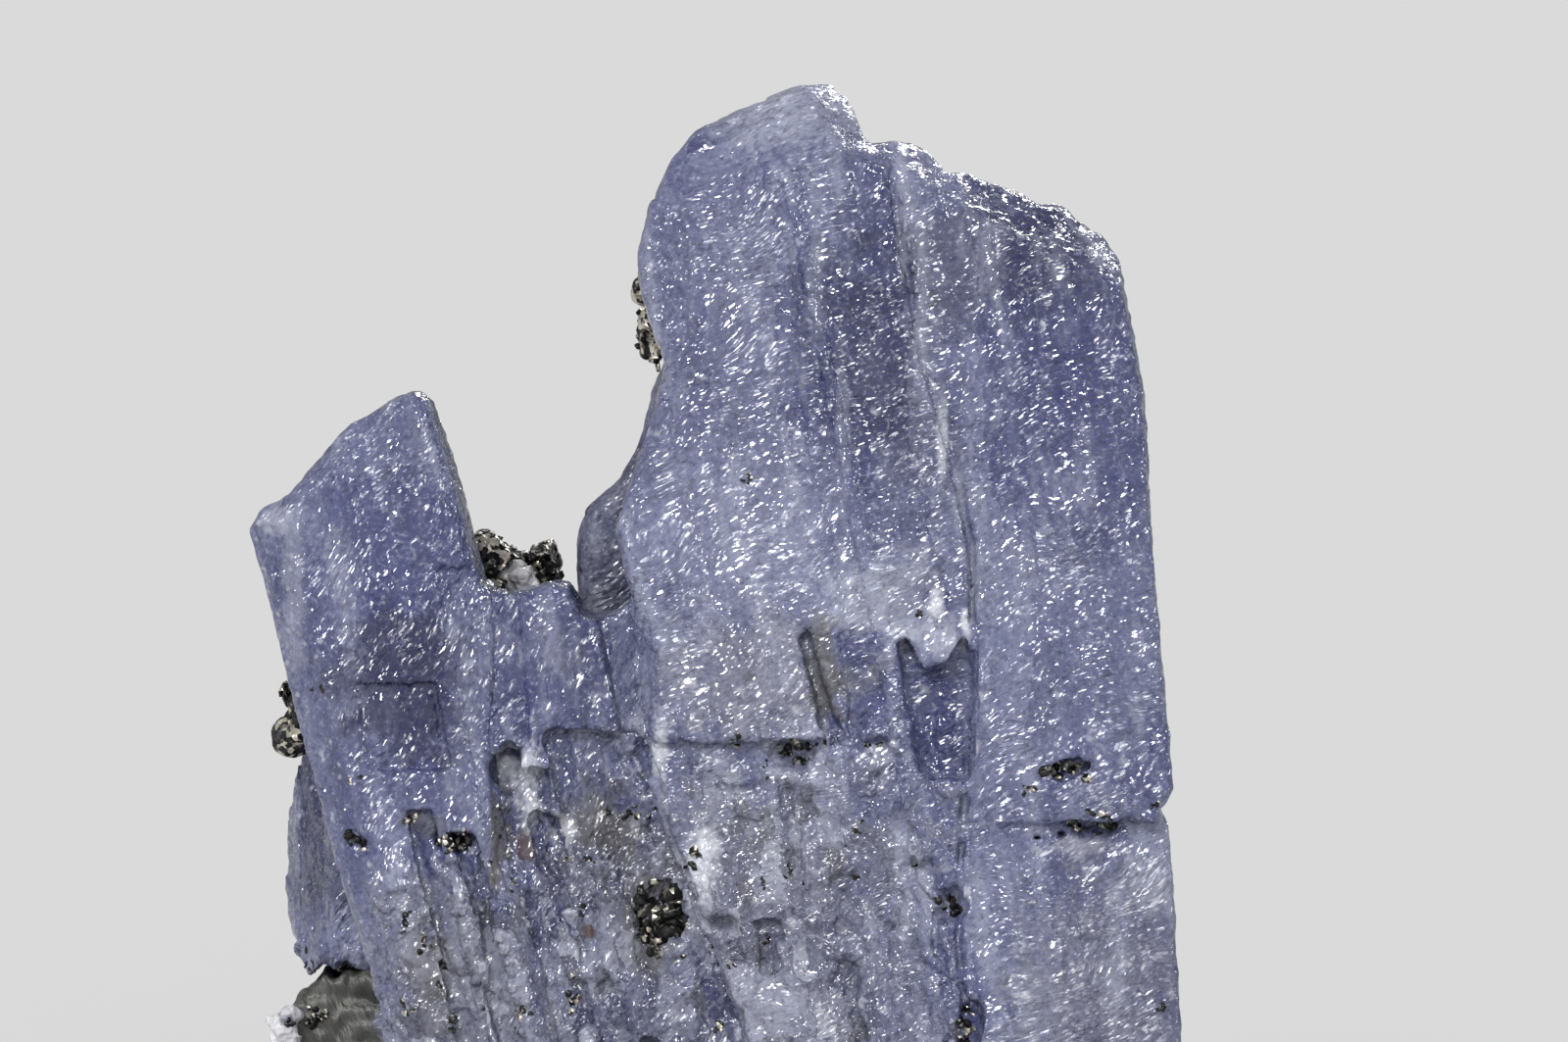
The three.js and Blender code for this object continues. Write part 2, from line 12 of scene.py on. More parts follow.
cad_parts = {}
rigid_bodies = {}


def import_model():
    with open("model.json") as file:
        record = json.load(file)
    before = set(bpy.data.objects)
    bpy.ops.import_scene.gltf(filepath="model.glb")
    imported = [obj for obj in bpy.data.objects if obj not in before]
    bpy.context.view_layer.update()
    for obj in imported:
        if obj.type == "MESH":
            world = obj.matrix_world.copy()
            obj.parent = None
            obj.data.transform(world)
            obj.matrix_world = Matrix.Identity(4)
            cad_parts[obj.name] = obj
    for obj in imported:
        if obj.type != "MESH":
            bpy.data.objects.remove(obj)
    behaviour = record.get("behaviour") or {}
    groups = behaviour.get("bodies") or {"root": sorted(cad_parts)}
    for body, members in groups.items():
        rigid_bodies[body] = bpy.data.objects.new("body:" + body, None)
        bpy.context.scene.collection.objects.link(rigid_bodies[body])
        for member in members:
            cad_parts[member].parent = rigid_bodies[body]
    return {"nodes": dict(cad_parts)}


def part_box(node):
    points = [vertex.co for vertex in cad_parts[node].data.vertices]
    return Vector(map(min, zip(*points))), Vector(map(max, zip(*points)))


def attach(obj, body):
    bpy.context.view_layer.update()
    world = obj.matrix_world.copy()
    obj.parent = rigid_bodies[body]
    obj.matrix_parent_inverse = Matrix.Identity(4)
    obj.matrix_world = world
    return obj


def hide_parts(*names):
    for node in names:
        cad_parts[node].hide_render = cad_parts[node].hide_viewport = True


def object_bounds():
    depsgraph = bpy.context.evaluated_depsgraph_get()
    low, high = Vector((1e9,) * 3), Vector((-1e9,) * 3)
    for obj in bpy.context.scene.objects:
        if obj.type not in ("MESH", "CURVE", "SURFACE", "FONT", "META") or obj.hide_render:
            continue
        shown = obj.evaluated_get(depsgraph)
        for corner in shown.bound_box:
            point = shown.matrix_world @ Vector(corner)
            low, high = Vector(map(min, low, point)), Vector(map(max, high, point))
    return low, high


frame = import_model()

bl_info = {
    "name": "Tanzanite Crystal Cluster",
    "version": (1, 0, 0),
    "blender": (4, 5, 0),
    "location": "View3D > Sidebar > Crystals",
    "description": "Weathered crystals, graphite and matrix over the cluster's solids",
    "category": "Object",
}

MM = 0.001
CAD_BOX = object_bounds()

# How each crystal grew, in millimetres. Cell is the size of the cells of its fine surface. Lean is
# the run to the right per unit of drop, and streak is the angle of its etch marks above the
# horizontal, in degrees. A zone is a patch of body colour and a mark lies over all other colours.
# Both have their colour's name, a middle, half sizes and a strength. A matte patch and the worn
# patch have only a middle and half sizes.
CRYSTALS = {
    "main_crystal": {
        "cell": 0.135,
        "lean": 0.13,
        "streak": 28,
        "worn": ((1.6, -7, 11.0), (6.2, 9, 9.4)),
        "matte": [((12.8, -7, 9.8), (3.6, 9, 7.0)), ((2.4, -4, 41.2), (3.4, 9, 1.9))],
        "zones": [
            ("deep", (9.8, -6, 36.2), (4.4, 9, 2.6), 0.85),
            ("deep", (4.4, -6, 33.4), (2.8, 9, 4.2), 0.75),
            ("deep", (6.8, -6, 29.0), (1.7, 9, 3.4), 0.65),
            ("clear", (11.6, -6, 27.0), (3.8, 9, 7.0), 0.6),
            ("clear", (10.4, -6, 19.5), (1.6, 9, 1.6), 0.5),
            ("milky", (11.8, -7, 22.5), (3.6, 9, 5.0), 0.75),
            ("clear", (13.0, -7, 31.0), (2.6, 9, 3.0), 0.7),
            ("pale", (2.3, -3, 41.4), (3.8, 9, 1.9), 0.55),
            ("clear", (-1.0, -5, 35.6), (1.6, 9, 4.2), 0.6),
            ("clear", (0.8, -6, 31.2), (3.0, 9, 4.0), 0.95),
            ("milky", (3.4, -7, 26.2), (5.0, 7, 3.0), 0.7),
            ("pale", (5.6, -7, 24.6), (1.9, 5, 1.7), 0.75),
            ("milky", (-1.2, -7, 27.4), (2.4, 9, 2.4), 0.5),
            ("grey", (1.0, -7, 21.8), (3.4, 9, 2.2), 0.65),
            ("grey", (1.6, -7, 12.6), (5.6, 9, 6.8), 0.7),
            ("clear", (7.2, -6, 20.4), (1.0, 5, 2.2), 0.8),
            ("clear", (6.4, -7, 11.8), (1.8, 9, 2.6), 0.55),
            ("grey", (13.0, -7, 9.6), (3.6, 9, 6.8), 0.6),
            ("pale", (7.3, -7, 23.2), (0.9, 3, 0.8), 0.8),
            ("pale", (6.0, -6, 15.8), (0.5, 3, 1.3), 0.6),
            ("pale", (5.4, -6, 19.1), (1.1, 3, 0.4), 0.6),
        ],
        "marks": [
            ("broken", (7.3, -7, 24.4), (0.35, 3, 0.5), 0.8),
            ("broken", (8.3, -7, 23.6), (0.2, 3, 0.5), 0.7),
            ("broken", (-0.9, -6, 15.5), (0.6, 3, 1.3), 0.75),
            ("broken", (12.1, -6, 15.9), (0.9, 3, 0.3), 0.16),
            ("umber", (3.4, -6, 21.8), (0.6, 5, 1.9), 0.6),
            ("pale", (6.1, -6, 37.8), (0.25, 3, 2.6), 0.4),
            ("pale", (6.75, -6, 33.4), (0.25, 3, 2.8), 0.4),
            ("broken", (7.5, -6, 29.8), (0.2, 3, 1.7), 0.45),
            ("pale", (8.1, -6, 27.6), (0.25, 3, 1.8), 0.5),
            ("pale", (8.55, -6, 25.2), (0.3, 3, 1.6), 0.5),
            ("pale", (3.1, -6, 36.2), (0.35, 3, 3.0), 0.3),
            ("pale", (4.1, -6, 30.4), (0.3, 3, 3.2), 0.25),
            ("broken", (-2.2, -6, 19.3), (0.35, 3, 1.3), 0.7),
        ],
    },
    "left_crystal": {
        "cell": 0.112,
        "lean": 0.22,
        "streak": 55,
        "worn": ((-8.0, -6, 8.0), (4.2, 9, 7.6)),
        "matte": [],
        "zones": [
            ("milky", (-13.2, -6, 29.6), (3.6, 9, 1.3), 0.6),
            ("clear", (-11.4, -6, 25.4), (2.8, 9, 3.2), 0.8),
            ("deep", (-11.1, -6, 21.4), (2.8, 9, 3.0), 1),
            ("milky", (-8.9, -6, 22.4), (0.7, 9, 4.5), 0.6),
            ("milky", (-10.6, -6, 13.0), (2.8, 9, 3.0), 0.7),
            ("grey", (-9.0, -6, 10.0), (3.6, 9, 5.5), 0.8),
        ],
        "marks": [
            ("deep", (-11.0, -6, 21.2), (2.2, 3, 2.4), 0.6),
            ("pale", (-14.9, -6, 24.6), (0.5, 9, 3.4), 0.4),
            ("pale", (-15.6, -6, 27.2), (0.5, 9, 0.6), 0.7),
            ("umber", (-10.4, -6, 16.6), (0.7, 3, 0.6), 0.5),
            ("umber", (-7.9, -6, 16.0), (0.3, 3, 1.8), 0.8),
            ("umber", (-10.2, -6, 11.4), (0.8, 3, 2.2), 0.4),
        ],
    },
    "saddle_crystal": {
        "cell": 0.107,
        "lean": 0.15,
        "streak": 52,
        "worn": ((-3.0, -6, 9.0), (6.0, 9, 10.6)),
        "matte": [],
        "zones": [
            ("clear", (-6.6, -6, 22.0), (2.0, 9, 3.0), 0.9),
            ("deep", (-5.0, -6, 21.8), (1.0, 9, 1.8), 0.5),
            ("clear", (-3.2, -6, 22.0), (1.4, 9, 2.6), 0.5),
            ("milky", (-5.4, -6, 17.8), (2.4, 9, 1.6), 0.6),
            ("grey", (-3.4, -6, 14.6), (3.6, 9, 3.4), 0.8),
            ("clear", (-5.6, -6, 12.6), (1.6, 9, 1.9), 0.6),
            ("grey", (-3.0, -6, 9.0), (3.4, 9, 3.0), 0.5),
            ("pale", (-5.6, -6, 11.6), (1.0, 3, 1.0), 0.7),
        ],
        "marks": [
            ("broken", (-6.7, -6, 17.0), (0.3, 3, 0.9), 0.6),
            ("broken", (-1.9, -6, 18.4), (0.4, 3, 1.2), 0.5),
            ("broken", (-5.9, -6, 16.0), (0.3, 3, 0.6), 0.5),
            ("rust", (-7.0, -6, 15.7), (0.4, 3, 0.6), 0.6),
            ("rust", (-7.6, -6, 14.6), (0.26, 3, 0.5), 0.6),
            ("rust", (-4.75, -6, 12.85), (0.22, 3, 0.22), 0.8),
            ("broken", (-6.9, -6, 18.2), (0.6, 3, 1.2), 0.6),
            ("broken", (-7.7, -5, 18.5), (0.7, 4, 0.6), 0.9),
            ("broken", (-5.5, -6, 16.4), (0.45, 3, 0.5), 0.8),
            ("umber", (-4.2, -6, 16.6), (1.6, 3, 0.9), 0.6),
            ("umber", (-7.6, -6, 15.6), (0.3, 3, 2.2), 0.8),
            ("umber", (-2.6, -6, 13.0), (1.0, 3, 1.8), 0.6),
        ],
    },
    "side_crystal": {
        "cell": 0.12,
        "lean": 0.3,
        "streak": 50,
        "worn": ((-14.0, 2, 11.0), (3.0, 9, 0.8)),
        "matte": [],
        "zones": [
            ("deep", (-14.9, 1, 15.2), (2.6, 9, 3.2), 0.8),
            ("milky", (-14.2, 1, 11.8), (2.2, 9, 1.3), 0.7),
        ],
        "marks": [],
    },
    "rear_crystal": {
        "cell": 0.17,
        "lean": 0.02,
        "streak": 40,
        "worn": ((2.0, 6, 4.0), (9.0, 9, 6.0)),
        "matte": [((2.0, 6, 20.0), (9.0, 9, 20.0))],
        "zones": [
            ("grey", (2.0, 5, 18.0), (9.0, 9, 20.0), 0.85),
            ("deep", (-3.8, 3, 26.4), (3.0, 9, 4.6), 0.8),
        ],
        "marks": [],
    },
}

# How often a crystal's fine surface is softened
SOFTENING_ROUNDS = 3

# Cleavage splits the crystals into upright plates, which wear breaks into blocks and chips, each
# given by its width and height in mm. Their borders sway, and rows don't line up across columns.
PLATE = (2.3, 300.0)
BLOCK = (1.25, 2.9)
CHIP = (0.52, 1.15)
BORDER_SWAY = 0.12
BORDER_WAVE = 0.45
LAYER = 2.3
LAYER_START = 0.35
ROW_JOG = 5.3
COLUMN_JOG = 0.618
LAYER_JOG = 0.37

# Factors that scatter a block's column, layer and row into its number
COLUMN_FACTOR = 12.99
LAYER_FACTOR = 37.72
ROW_FACTOR = 78.23
WAVE_FACTOR = 43.76

# Shares of the block depth: how far each block steps out, and how much its face tilts. Blocks and
# chips show only in the worn patch, and stand out there about a level between their steps.
BLOCK_STEP = 1.0
BLOCK_TILT = 3.0
CHIP_STEP = 0.5
CHIP_TILT = 1.6
BROKEN_LEVEL = 0.75
PLATE_STEP = 0.35

# Ribs along a crystal: how many to a mm across and along it, their start, and their share of depth
RIBS = ((0.28, 0.07, 0, 0.7), (1.1, 0.05, 0, 0.8), (2.6, 0.1, 9, 0.45))

# Etch pits: how many to a mm along and across the etch marks, and their share of depth
PITS = ((0.8, 1.9, 0.8), (1.6, 3.6, 0.6))

# Distances to the next crystal, in mm, from which a side face grows towards it, and grows in full
SEAM_FAR = 0.75
SEAM_NEAR = 0.35
SEAM_SEARCH = 0.8

# Height above the cut, in mm, up to which points are pressed flat onto it
CUT_BAND = 0.15

# A zone is full up to the core and ends at the edge, in half sizes from its middle
ZONE_CORE = 0.5
ZONE_EDGE = 1.3
ZONE_RAGGED = 2.4

# How strongly the plates, blocks and chips differ in tone, and how strongly their borders show
CLEAVAGE_TINTS = ((PLATE, 0.22), (BLOCK, 0.5), (CHIP, 0.32))
BORDER_TINT = 0.18

# Tints of the chips in the worn patch: colour, start and full end of the tone, and strength
CHIP_TINTS = (("umber", 0.13, 0.09, 0.4), ("broken", 0.92, 0.95, 0.22))

# Tints by veils, grain, and pointiness, where pale in hollows is painted light that offsets their
# shade and broken white on proud edges is a painted highlight: what they follow, then as above
SURFACE_TINTS = (
    ("Veils", "pale", 0.53, 0.68, 0.35),
    ("Grain", "deep", 0.48, 0.3, 0.5),
    ("Grain", "pale", 0.52, 0.7, 0.45),
    # Painted light on edges: hollows turn pale to offset their shade, and proud edges get broken
    # white as a painted highlight
    ("Edges", "pale", 0.48, 0.4, 0.45),
    ("Edges", "broken", 0.56, 0.68, 0.4),
)

# Tanzanite's roughness where it's glossy, what etched and matte places add, and its clear body
GLOSSY = 0.04
ETCHED = 0.2
MATTE = 0.14
TANZANITE_IOR = 1.69
CLEARNESS = 0.14
BODY_COLOUR = (0.35, 0.38, 0.85, 1)
BODY_DENSITY = 160

# The graphite masses: the radius of their plates and the depth of their crumples, in mm
GRAPHITE_MASSES = {
    "graphite_crust": (0.3, 0.25),
    "graphite_side": (0.45, 0.4),
    "graphite_rim": (0.3, 0.25),
}
FACES_PER_PLATE = 60

# Flakes and spots: the area of one plate, in square mm, and how many plates there are at least
FLAKE_AREA_PER_PLATE = 0.03
FEWEST_PLATES = 4
# A bright metal colour for a share of the graphite plates, which stands in as painted glints
GRAPHITE_PAINTED_GLINT = (0.9, 0.85, 0.72, 1)

# Depth of the rough skin of the matrix and the calcite, in mm
LUMP_DEPTH = 0.28
MATRIX_SILK = (0.125, 0.125, 0.122, 1)
CALCITE_WHITE = (0.62, 0.62, 0.64, 1)

# The studio lights: where each shines from, and its breadth in degrees
LIGHTS = {
    "key": ((-0.24, -0.82, 0.5), 17),
    "front": ((0.12, -0.94, 0.3), 10),
    "rake": ((-0.85, -0.35, 0.45), 12),
    "fill": ((0.9, -0.4, 0.4), 16),
    "rim": ((0.25, 0.8, 0.5), 16),
}

# The width and the middle of what the camera shows, in mm
VIEW_WIDTH = 54.4
VIEW_MIDDLE = (2.04, -5, 27.1)

# Small graphite spots on the front faces: x and z of the middle, and half width and height, in mm
SPOTS = [
    (10.5, 17.9, 0.35, 0.22),
    (15.0, 17.3, 0.4, 0.2),
    (3.4, 19.5, 0.32, 0.14),
    (5.2, 19.5, 0.6, 0.2),
    (0.3, 19.6, 0.3, 0.24),
    (-3.2, 17.0, 1.0, 0.28),
    (-1.3, 15.6, 0.4, 0.5),
    (-2.4, 12.1, 0.35, 0.4),
    (-5.4, 10.6, 0.28, 0.75),
    (-9.4, 9.7, 0.3, 0.45),
    (-7.2, 10.2, 0.5, 0.28),
    (-11.0, 13.3, 0.26, 0.45),
    (-10.5, 12.4, 0.22, 0.5),
    (-9.9, 11.5, 0.25, 0.4),
    (-11.0, 10.3, 0.25, 0.25),
    (15.0, 10.3, 0.25, 0.14),
    (6.7, 24.0, 0.1, 0.1),
    (0.75, 28.6, 0.16, 0.22),
    (4.6, 16.6, 0.3, 0.2),
    (-0.3, 9.6, 0.25, 0.3),
    (-10.7, 16.7, 0.4, 0.3),
    (-7.8, 16.7, 0.14, 0.6),
    (-7.4, 14.5, 0.12, 0.5),
    (-5.6, 15.3, 0.3, 0.18),
    (-4.9, 13.6, 0.16, 0.3),
    (2.2, 15.0, 0.14, 0.35),
    (1.4, 12.7, 0.12, 0.25),
    (4.5, 14.9, 0.2, 0.14),
    (-14.1, 21.3, 0.25, 0.18),
    (-12.6, 18.2, 0.5, 0.16),
    (1.3, 14.7, 0.1, 0.4),
    (1.4, 18.5, 0.08, 0.45),
    (-1.5, 11.9, 0.14, 0.12),
    (0.2, 11.8, 0.16, 0.15),
    (-4.7, 15.4, 0.25, 0.15),
    (-14.9, 11.0, 0.25, 0.7),
    (-14.6, 9.6, 0.4, 0.6),
    (-15.6, 9.3, 0.5, 0.25),
]


def colour_setting(name, description, colour):
    return FloatVectorProperty(
        name=name, description=description, subtype="COLOR", size=4, default=(*colour, 1)
    )


class ClusterForm(PropertyGroup):
    """Sizes of the fine surfaces"""

    most_triangles: IntProperty(
        name="Most triangles",
        description="How many triangles one crystal may have",
        default=196000,
    )
    grain_cell: FloatProperty(
        name="Grain cell",
        description="Size of the cells of the fine surface of graphite, calcite and matrix",
        default=0.11 * MM,
        unit="LENGTH",
    )
    overlap: FloatProperty(
        name="Overlap",
        description="How far all the crystals' faces grow",
        default=0.05 * MM,
        unit="LENGTH",
    )
    seam_reach: FloatProperty(
        name="Seam reach",
        description="How much further side faces grow where they meet another crystal",
        default=0.25 * MM,
        unit="LENGTH",
    )
    rib_depth: FloatProperty(
        name="Rib depth",
        description="Depth of the ribs along a crystal",
        default=0.09 * MM,
        unit="LENGTH",
    )
    block_depth: FloatProperty(
        name="Block depth",
        description="Depth of the small cleavage blocks where a crystal is worn",
        default=0.2 * MM,
        unit="LENGTH",
    )
    pit_depth: FloatProperty(
        name="Pit depth",
        description="Depth of the etch pits",
        default=0.07 * MM,
        unit="LENGTH",
    )


class ClusterColours(PropertyGroup):
    """Colours of tanzanite, graphite and matrix"""

    deep: colour_setting("Deep", "Colour of the thickest clear crystal", (0.018, 0.021, 0.08))
    clear: colour_setting("Clear", "Colour of clear crystal", (0.055, 0.063, 0.18))
    milky: colour_setting("Milky", "Colour of hazy crystal", (0.165, 0.18, 0.31))
    # Pale and broken also paint light on edges: pale in hollows offsets their shade, and broken
    # white on proud edges is a painted highlight
    pale: colour_setting("Pale", "Colour of frosted crystal", (0.42, 0.44, 0.55))
    broken: colour_setting("Broken", "Colour of fresh broken edges and specks", (0.8, 0.82, 0.9))
    grey: colour_setting("Grey", "Colour of the worn greyish crystal", (0.18, 0.18, 0.225))
    umber: colour_setting("Umber", "Colour of brownish layers where it's worn", (0.1, 0.095, 0.085))
    rust: colour_setting("Rust", "Colour of the iron stains", (0.11, 0.062, 0.032))
    graphite: colour_setting("Graphite", "Colour of the graphite", (0.035, 0.035, 0.035))
    matrix: colour_setting("Matrix", "Colour of the silky matrix", (0.07, 0.073, 0.063))


class ClusterStage(PropertyGroup):
    """Floor, lights and camera"""

    floor_radius: FloatProperty(
        name="Floor radius",
        description="Radius of the round floor",
        default=5,
        unit="LENGTH",
    )
    floor_colour: colour_setting("Floor", "Colour of the floor", (0.6, 0.6, 0.6))
    key_strength: FloatProperty(
        name="Key",
        description="Strength of the key light from the upper left",
        default=1.9,
    )
    front_strength: FloatProperty(
        name="Front",
        description="Strength of the light from the front",
        default=0.5,
    )
    rake_strength: FloatProperty(
        name="Rake",
        description="Strength of the light that rakes the front faces from the left",
        default=0.9,
    )
    fill_strength: FloatProperty(
        name="Fill",
        description="Strength of the large soft light from the right",
        default=1.0,
    )
    rim_strength: FloatProperty(
        name="Rim",
        description="Strength of the soft light from behind and above",
        default=1.4,
    )
    ambient: FloatProperty(
        name="Ambient",
        description="Strength of the even light from all round",
        default=0.34,
    )
    lens: FloatProperty(
        name="Lens",
        description="Focal length of the camera, in millimetres",
        default=200,
        unit="CAMERA",
    )
    tilt: FloatProperty(
        name="Tilt",
        description="How far above the horizontal the camera stands",
        default=math.radians(2),
        subtype="ANGLE",
    )


def add_node(tree, kind, **settings):
    made = tree.nodes.new(kind)
    for name, value in settings.items():
        setattr(made, name, value)
    return made


def join(tree, *pairs):
    for source, target in pairs:
        tree.links.new(source, target)


def math_node(tree, operation, first, second=None, third=None):
    made = add_node(tree, "ShaderNodeMath", operation=operation)
    for socket, value in zip(made.inputs, (first, second, third)):
        if value is None:
            continue
        if isinstance(value, (int, float)):
            socket.default_value = value
        else:
            tree.links.new(value, socket)
    return made.outputs[0]


def mix_colour(tree, factor, under, over):
    made = add_node(tree, "ShaderNodeMix", data_type="RGBA")
    sockets = (made.inputs[0], made.inputs[6], made.inputs[7])
    for socket, value in zip(sockets, (factor, under, over)):
        if isinstance(value, bpy.types.NodeSocket):
            tree.links.new(value, socket)
        else:
            socket.default_value = value
    return made.outputs[2]


def ramp(tree, value, low, high):
    """Maps low to high of a value to 0 to 1, with soft ends."""
    made = add_node(tree, "ShaderNodeMapRange", interpolation_type="SMOOTHSTEP")
    made.inputs["From Min"].default_value = low
    made.inputs["From Max"].default_value = high
    tree.links.new(value, made.inputs["Value"])
    return made.outputs[0]


def new_group(name, inputs, outputs):
    """A node group with its sockets, its input node and its output node."""
    tree = bpy.data.node_groups.new(name, "ShaderNodeTree")
    for label, kind, default in inputs:
        socket = tree.interface.new_socket(name=label, in_out="INPUT", socket_type=kind)
        if default is not None:
            socket.default_value = default
    for label, kind in outputs:
        tree.interface.new_socket(name=label, in_out="OUTPUT", socket_type=kind)
    return tree, tree.nodes.new("NodeGroupInput").outputs, tree.nodes.new("NodeGroupOutput").inputs


def zone_group():
    """A soft blob: Strength in its middle, 0 outside, with a ragged border."""
    tree, given, out = new_group(
        "colour_zone",
        [
            ("Position", "NodeSocketVector", None),
            ("Ragged", "NodeSocketFloat", 0.0),
            ("Scale", "NodeSocketVector", (1, 1, 1)),
            ("Shift", "NodeSocketVector", (0, 0, 0)),
            ("Strength", "NodeSocketFloat", 1.0),
        ],
        [("Mask", "NodeSocketFloat")],
    )
    inside = add_node(tree, "ShaderNodeVectorMath", operation="MULTIPLY_ADD")
    length = add_node(tree, "ShaderNodeVectorMath", operation="LENGTH")
    for number, name in enumerate(("Position", "Scale", "Shift")):
        tree.links.new(given[name], inside.inputs[number])
    tree.links.new(inside.outputs[0], length.inputs[0])
    edge = math_node(tree, "ADD", length.outputs["Value"], given["Ragged"])
    mask = add_node(tree, "ShaderNodeMapRange", interpolation_type="SMOOTHSTEP")
    mask.inputs["From Min"].default_value = ZONE_EDGE
    mask.inputs["From Max"].default_value = ZONE_CORE
    join(
        tree,
        (edge, mask.inputs["Value"]),
        (given["Strength"], mask.inputs["To Max"]),
        (mask.outputs[0], out["Mask"]),
    )
    return tree


def stretched(tree, source, factors):
    """A position multiplied by a factor for each axis."""
    made = add_node(tree, "ShaderNodeVectorMath", operation="MULTIPLY")
    made.inputs[1].default_value = factors
    tree.links.new(source, made.inputs[0])
    return made.outputs[0]


def noise_node(tree, source, scale, detail, rough):
    made = add_node(tree, "ShaderNodeTexNoise")
    made.inputs["Scale"].default_value = scale
    made.inputs["Detail"].default_value = detail
    made.inputs["Roughness"].default_value = rough
    tree.links.new(source, made.inputs["Vector"])
    return made


def clouds(tree, source, scale, detail=3.0, rough=0.55):
    """Soft blotches from 0 to 1, so many to a millimetre."""
    return noise_node(tree, source, scale, detail, rough).outputs["Fac"]


def wandering(tree, start, source, scale, detail, reach):
    """A position that strays from its start by up to a reach along each axis."""
    stray = noise_node(tree, source, scale, detail, 0.5)
    moved = add_node(tree, "ShaderNodeVectorMath", operation="MULTIPLY_ADD")
    moved.inputs[1].default_value = reach
    join(tree, (stray.outputs["Color"], moved.inputs[0]), (start, moved.inputs[2]))
    return moved.outputs[0]


def facets(tree, source, scale):
    """Cells that are each a small plane with a tilt of its own, as a height and a random number."""
    cells = add_node(tree, "ShaderNodeTexVoronoi")
    cells.inputs["Scale"].default_value = scale
    away = add_node(tree, "ShaderNodeVectorMath", operation="SUBTRACT")
    tilt = add_node(tree, "ShaderNodeVectorMath", operation="SUBTRACT")
    tilt.inputs[1].default_value = (0.5, 0.5, 0.5)
    height = add_node(tree, "ShaderNodeVectorMath", operation="DOT_PRODUCT")
    number = add_node(tree, "ShaderNodeSeparateColor")
    join(
        tree,
        (source, cells.inputs["Vector"]),
        (source, away.inputs[0]),
        (cells.outputs["Position"], away.inputs[1]),
        (cells.outputs["Color"], tilt.inputs[0]),
        (away.outputs[0], height.inputs[0]),
        (tilt.outputs[0], height.inputs[1]),
        (cells.outputs["Color"], number.inputs[0]),
    )
    return height.outputs["Value"], number.outputs[0]


def growth_group():
    """Marks of growth and etching: small facets, hazy veils, glossy patches and grain."""
    tree, given, out = new_group(
        "growth_marks",
        [
            ("Along", "NodeSocketVector", None),
            ("Streaks", "NodeSocketVector", None),
        ],
        [
            ("Height", "NodeSocketFloat"),
            ("Veils", "NodeSocketFloat"),
            ("Patches", "NodeSocketFloat"),
            ("Grain", "NodeSocketFloat"),
        ],
    )
    along, streaks = given["Along"], given["Streaks"]
    veils = clouds(tree, stretched(tree, along, (1, 1, 0.25)), 0.55, 3, 0.65)
    bent = wandering(tree, streaks, along, 0.35, 0, (1.6, 1.6, 1.6))
    marks = stretched(tree, bent, (0.32, 1, 1.15))
    small = facets(tree, marks, 13)[0]
    large = facets(tree, marks, 5)[0]
    height = math_node(tree, "MULTIPLY_ADD", small, 1.25, large)
    join(
        tree,
        (height, out["Height"]),
        (veils, out["Veils"]),
        (clouds(tree, along, 0.6, 3, 0.65), out["Patches"]),
        (clouds(tree, along, 5, 3, 0.7), out["Grain"]),
    )
    return tree


def cleavage_group():
    """The cleavage blocks that the crystals' shapes have too, as a tone and as pale borders."""
    tree, given, out = new_group(
        "cleavage_blocks",
        [
            ("Position", "NodeSocketVector", None),
            ("Lean", "NodeSocketFloat", 0.0),
            ("Width", "NodeSocketFloat", 1.0),
            ("Height", "NodeSocketFloat", 1.0),
        ],
        [("Tone", "NodeSocketFloat"), ("Border", "NodeSocketFloat")],
    )
    place = add_node(tree, "ShaderNodeSeparateXYZ")
    tree.links.new(given["Position"], place.inputs[0])
    x, y, z = place.outputs
    leaning = math_node(tree, "MULTIPLY_ADD", given["Lean"], z, x)
    across = math_node(tree, "DIVIDE", leaning, given["Width"])
    sway = math_node(tree, "SINE", math_node(tree, "MULTIPLY", z, BORDER_WAVE))
    columns = math_node(tree, "MULTIPLY_ADD", sway, BORDER_SWAY, across)
    column = math_node(tree, "FLOOR", columns)
    layer = math_node(tree, "FLOOR", math_node(tree, "MULTIPLY_ADD", y, 1 / LAYER, LAYER_START))
    shift = math_node(tree, "MULTIPLY", column, COLUMN_JOG)
    shift = math_node(tree, "MULTIPLY_ADD", layer, LAYER_JOG, shift)
    jog = math_node(tree, "MULTIPLY", math_node(tree, "FRACT", shift), ROW_JOG)
    rows = math_node(tree, "ADD", math_node(tree, "DIVIDE", z, given["Height"]), jog)
    row = math_node(tree, "FLOOR", rows)
    mixed = math_node(tree, "MULTIPLY", column, COLUMN_FACTOR)
    mixed = math_node(tree, "MULTIPLY_ADD", layer, LAYER_FACTOR, mixed)
    wave = math_node(tree, "SINE", math_node(tree, "MULTIPLY_ADD", row, ROW_FACTOR, mixed))
    tone = math_node(tree, "FRACT", math_node(tree, "MULTIPLY", wave, WAVE_FACTOR))

    def to_border(count, size):
        inside = math_node(tree, "FRACT", count)
        nearest = math_node(tree, "MINIMUM", inside, math_node(tree, "SUBTRACT", 1, inside))
        return math_node(tree, "MULTIPLY", nearest, size)

    beside = to_border(columns, given["Width"])
    gap = math_node(tree, "MINIMUM", beside, to_border(rows, given["Height"]))
    join(tree, (tone, out["Tone"]), (ramp(tree, gap, 0.06, 0.0), out["Border"]))
    return tree


def use_group(tree, group):
    made = tree.nodes.new("ShaderNodeGroup")
    made.node_tree = group
    return made


